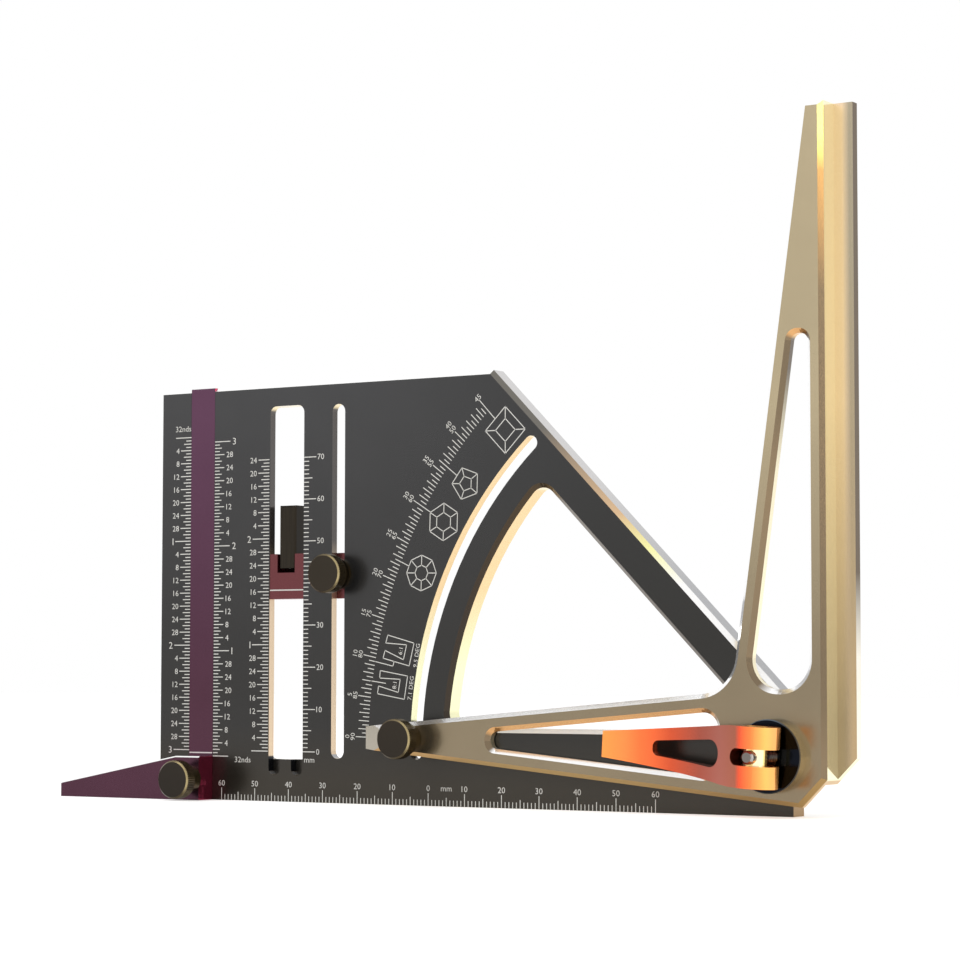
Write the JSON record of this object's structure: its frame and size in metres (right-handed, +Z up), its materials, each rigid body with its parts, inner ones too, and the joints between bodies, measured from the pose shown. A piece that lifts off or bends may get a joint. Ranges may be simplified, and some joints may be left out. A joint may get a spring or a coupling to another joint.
{
  "type": "angle finder",
  "caption": "Dark flat plate with engraved scales, a swinging gold L-shaped arm, a sliding depth foot and a marking slide, for finding and marking angles.",
  "frame": {"origin": "zero of the ruler edge's millimetre scale, on that edge at the plate's front face", "axes": "+X to the right along the ruler edge, +Y from the front face into the plate, +Z up, square to the ruler edge"},
  "size_m": [0.2133, 0.022, 0.1531],
  "materials": {
    "dark_anodised": "satin anodised",
    "purple_anodised": "satin anodised",
    "red_anodised": "satin anodised",
    "gold_anodised": "satin anodised",
    "bronze_anodised": "satin anodised",
    "black_anodised": "gloss anodised",
    "orange_anodised": "satin anodised",
    "yellow_anodised": "satin anodised",
    "dark_steel": "blackened",
    "steel": "bright",
    "bronze": "plain",
    "white_plastic": "plain"
  },
  "bodies": {
    "plate": {"base_plate": "dark_anodised", "pivot_bush": "bronze"},
    "height_slide": {"height_slide": "purple_anodised", "height_clamp_pad": "white_plastic"},
    "height_lock": {"height_knob": "bronze_anodised", "height_stud": "steel"},
    "marking_slide": {"marking_carriage": "red_anodised", "marking_blade": "dark_steel", "blade_screws": "steel"},
    "marking_lock": {"marking_knob": "bronze_anodised", "marking_stud": "steel"},
    "arm": {"arm_frame": "gold_anodised", "arm_clamp_nut": "steel", "pivot_shim": "steel", "pivot_disc": "black_anodised", "draw_bolt": "steel", "back_washer": "steel", "spring_washer": "steel", "barrel_pin": "yellow_anodised"},
    "arm_lock": {"arm_knob": "bronze_anodised", "arm_stud": "steel"},
    "lever": {"cam_lever": "orange_anodised", "cam_bushes": "bronze"}
  },
  "joints": [
    {"name": "height_slide_up", "type": "slide", "parent": "plate", "child": "height_slide", "axis": [0, 0, 1], "range_m": [0, 0.0762]},
    {"name": "height_lock_turn", "type": "hinge", "parent": "height_slide", "child": "height_lock", "pos_m": [-0.0655, 0, 0.00505], "axis": [0, -1, 0], "range_deg": [0, 360]},
    {"name": "marking_slide_up", "type": "slide", "parent": "plate", "child": "marking_slide", "axis": [0, 0, 1], "range_m": [-0.0375, 0.0235]},
    {"name": "marking_lock_turn", "type": "hinge", "parent": "marking_slide", "child": "marking_lock", "pos_m": [-0.02575, 0, 0.05385], "axis": [0, -1, 0], "range_deg": [0, 360]},
    {"name": "arm_swing", "type": "hinge", "parent": "plate", "child": "arm", "pos_m": [0.0902, 0, 0.0129], "axis": [0, 1, 0], "range_deg": [0, 45]},
    {"name": "arm_lock_turn", "type": "hinge", "parent": "arm", "child": "arm_lock", "pos_m": [-0.00336, 0, 0.01546], "axis": [0, -1, 0], "range_deg": [0, 360]},
    {"name": "lever_open", "type": "hinge", "parent": "arm", "child": "lever", "pos_m": [0.0902, -0.01085, 0.0129], "axis": [0.0576, 0, 0.9983], "range_deg": [0, 100]}
  ]
}
